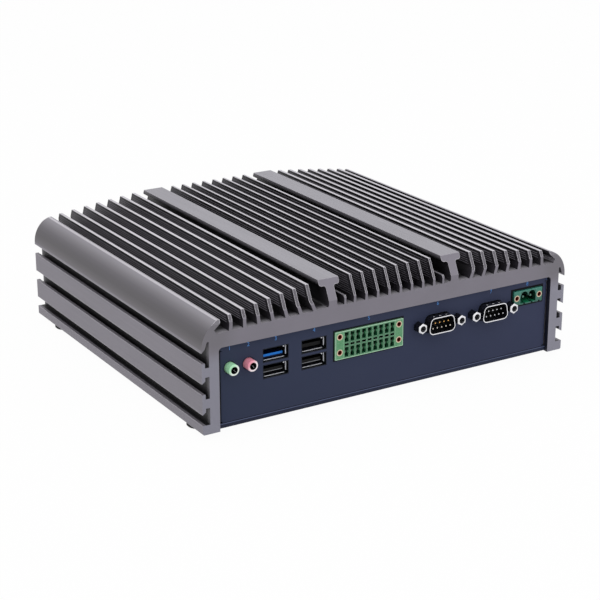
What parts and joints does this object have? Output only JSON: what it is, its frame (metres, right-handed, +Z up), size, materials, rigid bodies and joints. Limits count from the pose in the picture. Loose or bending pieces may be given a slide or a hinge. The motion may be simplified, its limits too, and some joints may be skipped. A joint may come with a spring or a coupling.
{
  "type": "industrial computer",
  "caption": "Fanless box computer: finned aluminium extrusion over a folded sheet base, with audio, data, signal, serial and power sockets on its front panel.",
  "frame": {"origin": "on the ground under the feet, at the middle of the whole outline in plan", "axes": "+X to the right along the connector side, +Y from the connector side to the rear panel, +Z up through the fins"},
  "size_m": [0.2248, 0.2086, 0.0701],
  "materials": {
    "anodised_extrusion": "satin grey anodised extrusion with dark grooves",
    "painted_sheet": "dark blue-black powder coat",
    "plated_steel": "zinc plated",
    "black_screw": "black oxide",
    "circuit_board": "green solder mask",
    "brass_standoff": "turned",
    "black_plastic": "moulded",
    "machined_aluminium": "machined",
    "thermal_pad": "soft pad",
    "bright_metal": "tin or nickel plated",
    "green_audio_plastic": "moulded, light green",
    "pink_audio_plastic": "moulded, pink",
    "green_header_plastic": "moulded, green",
    "teal_header_plastic": "moulded, blue-green",
    "brass_insert": "turned, plated",
    "rubber": "matte",
    "clear_plastic": "clear light guide"
  },
  "bodies": {
    "enclosure": {"audio_jack_green": "green_audio_plastic", "audio_jack_pink": "pink_audio_plastic", "base_tray": "painted_sheet", "block_screws": "plated_steel", "board_screws": "plated_steel", "board_standoffs": "brass_standoff", "button_bezel": "bright_metal", "button_nut": "plated_steel", "button_switch": "black_plastic", "capacitors": "bright_metal", "cell_holder": "black_plastic", "chassis": "anodised_extrusion", "chokes": "black_plastic", "coin_cell": "bright_metal", "flange_nuts": "brass_insert", "foot_front_left": "rubber", "foot_front_right": "rubber", "foot_rear_left": "rubber", "foot_rear_right": "rubber", "front_panel": "painted_sheet", "heat_block": "machined_aluminium", "indicator_carrier": "black_plastic", "indicators": "clear_plastic", "jackscrews": "bright_metal", "mainboard": "circuit_board", "memory_module": "circuit_board", "memory_socket": "black_plastic", "network_insert_1": "black_plastic", "network_insert_2": "black_plastic", "network_shield_1": "bright_metal", "network_shield_2": "bright_metal", "pillars": "plated_steel", "port_core_left": "black_plastic", "port_core_right": "black_plastic", "port_shell_left": "bright_metal", "port_shell_right": "bright_metal", "power_board": "circuit_board", "power_header": "teal_header_plastic", "power_header_ends": "teal_header_plastic", "power_pins": "bright_metal", "power_spacers": "black_plastic", "processor": "black_plastic", "serial_body_1": "black_plastic", "serial_body_2": "black_plastic", "serial_pins": "bright_metal", "serial_shell_1": "bright_metal", "serial_shell_2": "bright_metal", "signal_header": "green_header_plastic", "signal_header_ends": "green_header_plastic", "signal_pins": "bright_metal", "storage_card": "circuit_board", "storage_post": "plated_steel", "storage_socket": "black_plastic", "thermal_pads": "thermal_pad", "tray_screws": "black_screw", "video_core_1": "black_plastic", "video_core_2": "black_plastic", "video_shell_1": "bright_metal", "video_shell_2": "bright_metal"},
    "button_cap": {"power_button": "machined_aluminium"}
  },
  "joints": [
    {"name": "power_button_press", "type": "slide", "parent": "enclosure", "child": "button_cap", "axis": [0, -1, 0], "range_m": [0, 0.0015], "stiffness_N_per_m": 400}
  ]
}
